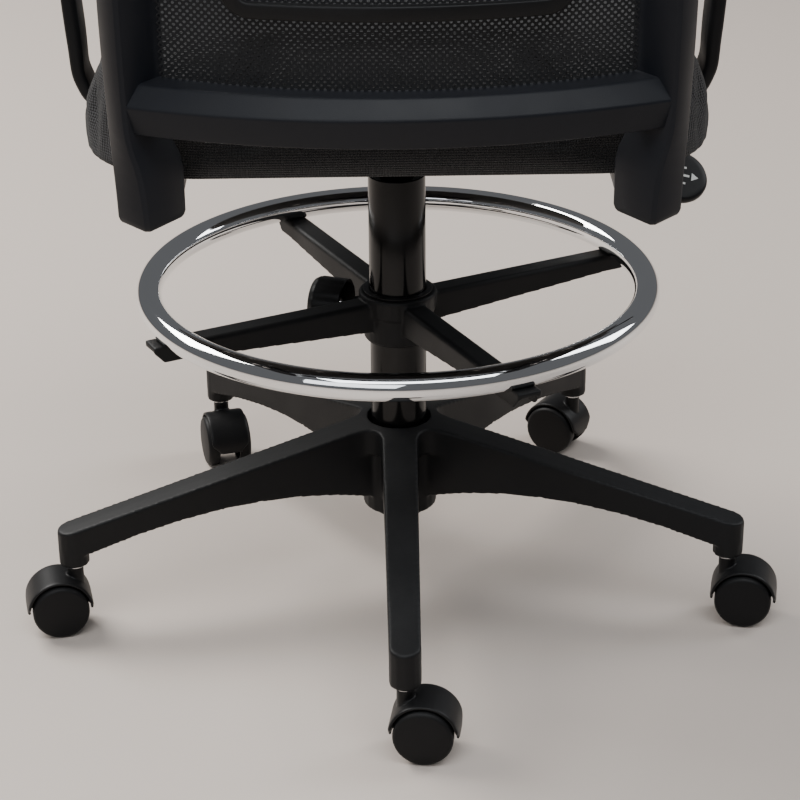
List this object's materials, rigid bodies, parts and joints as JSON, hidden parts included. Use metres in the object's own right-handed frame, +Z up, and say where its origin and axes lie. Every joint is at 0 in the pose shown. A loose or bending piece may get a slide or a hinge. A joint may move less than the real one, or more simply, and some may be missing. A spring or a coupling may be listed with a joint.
{
  "type": "drafting chair",
  "caption": "Height-adjustable drafting chair with a mesh back, padded seat, fixed arms, a clamped foot ring and a five-star caster base.",
  "frame": {"origin": "on the floor, on the axis of the column", "axes": "+Z up; the sitter faces +Y and the sitter's right hand is at +X"},
  "size_m": [0.6734, 0.6496, 1.045],
  "materials": {
    "star_nylon": "fine-textured black moulding",
    "frame_nylon": "satin black moulding",
    "black_plastic": "satin black moulding",
    "caster_plastic": "smooth black moulding",
    "column_paint": "gloss black paint",
    "dark_steel": "satin black powder coat",
    "steel": "plain turned steel",
    "chrome": "bright plated tube",
    "rubber": "matt black rubber",
    "seat_fabric": "black woven fabric",
    "mesh_fabric": "black open mesh",
    "pad_plastic": "soft black arm pad"
  },
  "bodies": {
    "base": {"star_base": "star_nylon", "column_tube": "column_paint", "column_bush": "black_plastic", "thrust_bearing": "steel", "bumper": "rubber", "caster_stem_1": "steel", "caster_stem_2": "steel", "caster_stem_3": "steel", "caster_stem_4": "steel", "caster_stem_5": "steel"},
    "spindle": {"piston_rod": "steel", "retaining_clip": "dark_steel"},
    "seat": {"gas_cylinder": "column_paint", "seat_plate": "dark_steel", "lever_pivot": "steel", "seat_pan": "black_plastic", "seat_cushion": "seat_fabric", "upright_left": "frame_nylon", "upright_right": "frame_nylon", "back_crossbar": "frame_nylon", "back_top_rail": "frame_nylon", "back_mesh": "mesh_fabric", "arm_post_left": "black_plastic", "arm_post_right": "black_plastic", "arm_pad_left": "pad_plastic", "arm_pad_right": "pad_plastic", "seat_bolt_1": "steel", "seat_bolt_2": "steel", "seat_bolt_3": "steel", "seat_bolt_4": "steel"},
    "lumbar": {"lumbar_support": "black_plastic"},
    "lever": {"lever_rod": "dark_steel", "lever_paddle": "black_plastic"},
    "valve_pin": {"release_pin": "steel"},
    "ring_bush": {"foot_ring_bush": "black_plastic"},
    "foot_rest": {"foot_ring_hub": "star_nylon", "foot_ring": "chrome"},
    "clamp_shoe": {"clamp_pad": "black_plastic"},
    "clamp": {"clamp_screw": "steel", "clamp_knob": "black_plastic"},
    "caster_1": {"caster_hood_1": "caster_plastic", "caster_axle_1": "steel"},
    "left_wheel_1": {"wheel_left_1": "caster_plastic"},
    "right_wheel_1": {"wheel_right_1": "caster_plastic"},
    "caster_2": {"caster_hood_2": "caster_plastic", "caster_axle_2": "steel"},
    "left_wheel_2": {"wheel_left_2": "caster_plastic"},
    "right_wheel_2": {"wheel_right_2": "caster_plastic"},
    "caster_3": {"caster_hood_3": "caster_plastic", "caster_axle_3": "steel"},
    "left_wheel_3": {"wheel_left_3": "caster_plastic"},
    "right_wheel_3": {"wheel_right_3": "caster_plastic"},
    "caster_4": {"caster_hood_4": "caster_plastic", "caster_axle_4": "steel"},
    "left_wheel_4": {"wheel_left_4": "caster_plastic"},
    "right_wheel_4": {"wheel_right_4": "caster_plastic"},
    "caster_5": {"caster_hood_5": "caster_plastic", "caster_axle_5": "steel"},
    "left_wheel_5": {"wheel_left_5": "caster_plastic"},
    "right_wheel_5": {"wheel_right_5": "caster_plastic"}
  },
  "joints": [
    {"name": "seat_swivel", "type": "hinge", "parent": "base", "child": "spindle", "pos_m": [0, 0, 0.07], "axis": [0, 0, 1], "continuous": true},
    {"name": "seat_lift", "type": "slide", "parent": "spindle", "child": "seat", "axis": [0, 0, 1], "range_m": [0, 0.2]},
    {"name": "lumbar_slide", "type": "slide", "parent": "seat", "child": "lumbar", "axis": [0, -0.09, 0.9959], "range_m": [-0.02, 0.03]},
    {"name": "lever_lift", "type": "hinge", "parent": "seat", "child": "lever", "pos_m": [0.025, 0, 0.445], "axis": [0, -1, 0], "range_deg": [0, 7], "stiffness_Nm_per_rad": 2.5, "springref_deg": -5.73},
    {"name": "pin_press", "type": "slide", "parent": "seat", "child": "valve_pin", "axis": [0, 0, -1], "range_m": [0, 0.0031]},
    {"name": "ring_height", "type": "slide", "parent": "base", "child": "ring_bush", "axis": [0, 0, 1], "range_m": [-0.07, 0.065]},
    {"name": "ring_turn", "type": "hinge", "parent": "ring_bush", "child": "foot_rest", "pos_m": [0, 0, 0.26], "axis": [0, 0, 1], "continuous": true},
    {"name": "clamp_advance", "type": "slide", "parent": "foot_rest", "child": "clamp_shoe", "axis": [-0.9466, 0.3223, 0], "range_m": [0, 0.0026]},
    {"name": "clamp_turn", "type": "hinge", "parent": "clamp_shoe", "child": "clamp", "pos_m": [-0.04733, 0.01611, 0.26], "axis": [-0.9466, 0.3223, 0], "range_deg": [0, 720]},
    {"name": "caster_swivel_1", "type": "hinge", "parent": "base", "child": "caster_1", "pos_m": [-0.28912, -0.09394, 0.06], "axis": [0, 0, 1], "continuous": true},
    {"name": "left_wheel_turn_1", "type": "hinge", "parent": "caster_1", "child": "left_wheel_1", "pos_m": [-0.30477, -0.09727, 0.025], "axis": [0.2079, -0.9781, 0], "continuous": true},
    {"name": "right_wheel_turn_1", "type": "hinge", "parent": "caster_1", "child": "right_wheel_1", "pos_m": [-0.30477, -0.09727, 0.025], "axis": [0.2079, -0.9781, 0], "continuous": true},
    {"name": "caster_swivel_2", "type": "hinge", "parent": "base", "child": "caster_2", "pos_m": [0, -0.304, 0.06], "axis": [0, 0, 1], "continuous": true},
    {"name": "left_wheel_turn_2", "type": "hinge", "parent": "caster_2", "child": "left_wheel_2", "pos_m": [0.01584, -0.30623, 0.025], "axis": [0.1392, 0.9903, 0], "continuous": true},
    {"name": "right_wheel_turn_2", "type": "hinge", "parent": "caster_2", "child": "right_wheel_2", "pos_m": [0.01584, -0.30623, 0.025], "axis": [0.1392, 0.9903, 0], "continuous": true},
    {"name": "caster_swivel_3", "type": "hinge", "parent": "base", "child": "caster_3", "pos_m": [0.28912, -0.09394, 0.06], "axis": [0, 0, 1], "continuous": true},
    {"name": "left_wheel_turn_3", "type": "hinge", "parent": "caster_3", "child": "left_wheel_3", "pos_m": [0.30483, -0.09699, 0.025], "axis": [0.1908, 0.9816, 0], "continuous": true},
    {"name": "right_wheel_turn_3", "type": "hinge", "parent": "caster_3", "child": "right_wheel_3", "pos_m": [0.30483, -0.09699, 0.025], "axis": [0.1908, 0.9816, 0], "continuous": true},
    {"name": "caster_swivel_4", "type": "hinge", "parent": "base", "child": "caster_4", "pos_m": [0.17869, 0.24594, 0.06], "axis": [0, 0, 1], "continuous": true},
    {"name": "left_wheel_turn_4", "type": "hinge", "parent": "caster_4", "child": "left_wheel_4", "pos_m": [0.16512, 0.25442, 0.025], "axis": [-0.5299, -0.848, 0], "continuous": true},
    {"name": "right_wheel_turn_4", "type": "hinge", "parent": "caster_4", "child": "right_wheel_4", "pos_m": [0.16512, 0.25442, 0.025], "axis": [-0.5299, -0.848, 0], "continuous": true},
    {"name": "caster_swivel_5", "type": "hinge", "parent": "base", "child": "caster_5", "pos_m": [-0.17869, 0.24594, 0.06], "axis": [0, 0, 1], "continuous": true},
    {"name": "left_wheel_turn_5", "type": "hinge", "parent": "caster_5", "child": "left_wheel_5", "pos_m": [-0.17455, 0.23049, 0.025], "axis": [0.9659, 0.2588, 0], "continuous": true},
    {"name": "right_wheel_turn_5", "type": "hinge", "parent": "caster_5", "child": "right_wheel_5", "pos_m": [-0.17455, 0.23049, 0.025], "axis": [0.9659, 0.2588, 0], "continuous": true}
  ],
  "couplings": [
    {"joint": "pin_press", "follows": "lever_lift", "m_per_rad": 0.025},
    {"joint": "clamp_advance", "follows": "clamp_turn", "m_per_rad": 0.00019894}
  ]
}
